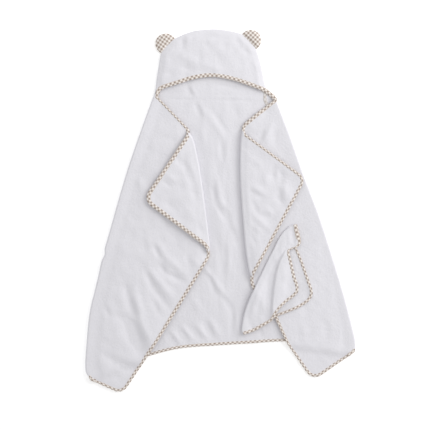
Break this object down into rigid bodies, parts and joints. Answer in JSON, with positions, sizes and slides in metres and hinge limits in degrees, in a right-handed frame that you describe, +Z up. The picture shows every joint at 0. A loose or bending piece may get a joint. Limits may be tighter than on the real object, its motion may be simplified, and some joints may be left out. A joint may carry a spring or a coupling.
{
  "type": "hooded baby towel",
  "caption": "Flat-laid hooded terry baby towel with padded ears, gingham bias binding, folded front flaps with turned-back corners, and a matching washcloth.",
  "frame": {"origin": "middle of the laid-out towel, on the surface that it lies on", "axes": "+Y from the hem to the hood, +X to the towel's right as seen from above, +Z up out of the folded front"},
  "size_m": [0.748, 1.0082, 0.0128],
  "materials": {
    "white_terry": "matte looped terry pile",
    "gingham_tape": "matte woven cotton, cut on the bias",
    "ear_gingham": "matte woven cotton",
    "polyester_filling": "soft fibre filling"
  },
  "bodies": {
    "back": {"back_panel": "white_terry", "hem_binding": "gingham_tape"},
    "hood": {"hood_back": "white_terry", "hood_front": "white_terry", "hood_binding": "gingham_tape"},
    "left_ear": {"left_ear_front": "ear_gingham", "left_ear_padding": "polyester_filling", "left_ear_back": "ear_gingham"},
    "right_ear": {"right_ear_front": "ear_gingham", "right_ear_padding": "polyester_filling", "right_ear_back": "ear_gingham"},
    "left_flap": {"left_flap_panel": "white_terry", "left_flap_binding": "gingham_tape"},
    "right_flap": {"right_flap_panel": "white_terry", "right_flap_binding": "gingham_tape"},
    "left_lapel": {"left_lapel_panel": "white_terry", "left_lapel_binding": "gingham_tape"},
    "right_lapel": {"right_lapel_panel": "white_terry", "right_lapel_binding": "gingham_tape"},
    "washcloth": {"washcloth_panel": "white_terry", "washcloth_binding": "gingham_tape"}
  },
  "joints": [
    {"name": "left_flap_open", "type": "hinge", "parent": "back", "child": "left_flap", "pos_m": [-0.2975, -0.0635, 0.005], "axis": [-0.2351, -0.972, 0], "range_deg": [0, 172]},
    {"name": "right_flap_open", "type": "hinge", "parent": "back", "child": "right_flap", "pos_m": [0.273, -0.0305, 0.005], "axis": [-0.3094, 0.9509, 0], "range_deg": [0, 172]},
    {"name": "left_lapel_open", "type": "hinge", "parent": "left_flap", "child": "left_lapel", "pos_m": [-0.053, 0.0565, 0.0096], "axis": [-0.1451, 0.9894, 0], "range_deg": [0, 170]},
    {"name": "right_lapel_open", "type": "hinge", "parent": "right_flap", "child": "right_lapel", "pos_m": [0.062, 0.014, 0.0096], "axis": [0.0528, -0.9986, 0], "range_deg": [0, 170]},
    {"name": "hood_fold", "type": "hinge", "parent": "back", "child": "hood", "pos_m": [-0.015, 0.314, 0.01], "axis": [0.9983, -0.0591, 0], "range_deg": [0, 165]},
    {"name": "left_ear_flop", "type": "hinge", "parent": "hood", "child": "left_ear", "pos_m": [-0.14607, 0.45456, 0.0032], "axis": [0.6981, 0.716, 0], "range_deg": [-60, 90], "stiffness_Nm_per_rad": 0.02},
    {"name": "right_ear_flop", "type": "hinge", "parent": "hood", "child": "right_ear", "pos_m": [0.07908, 0.46605, 0.0032], "axis": [0.6892, -0.7246, 0], "range_deg": [-60, 90], "stiffness_Nm_per_rad": 0.02},
    {"name": "washcloth_lift", "type": "slide", "parent": "right_flap", "child": "washcloth", "axis": [0, 0, 1], "range_m": [0, 0.15]}
  ]
}
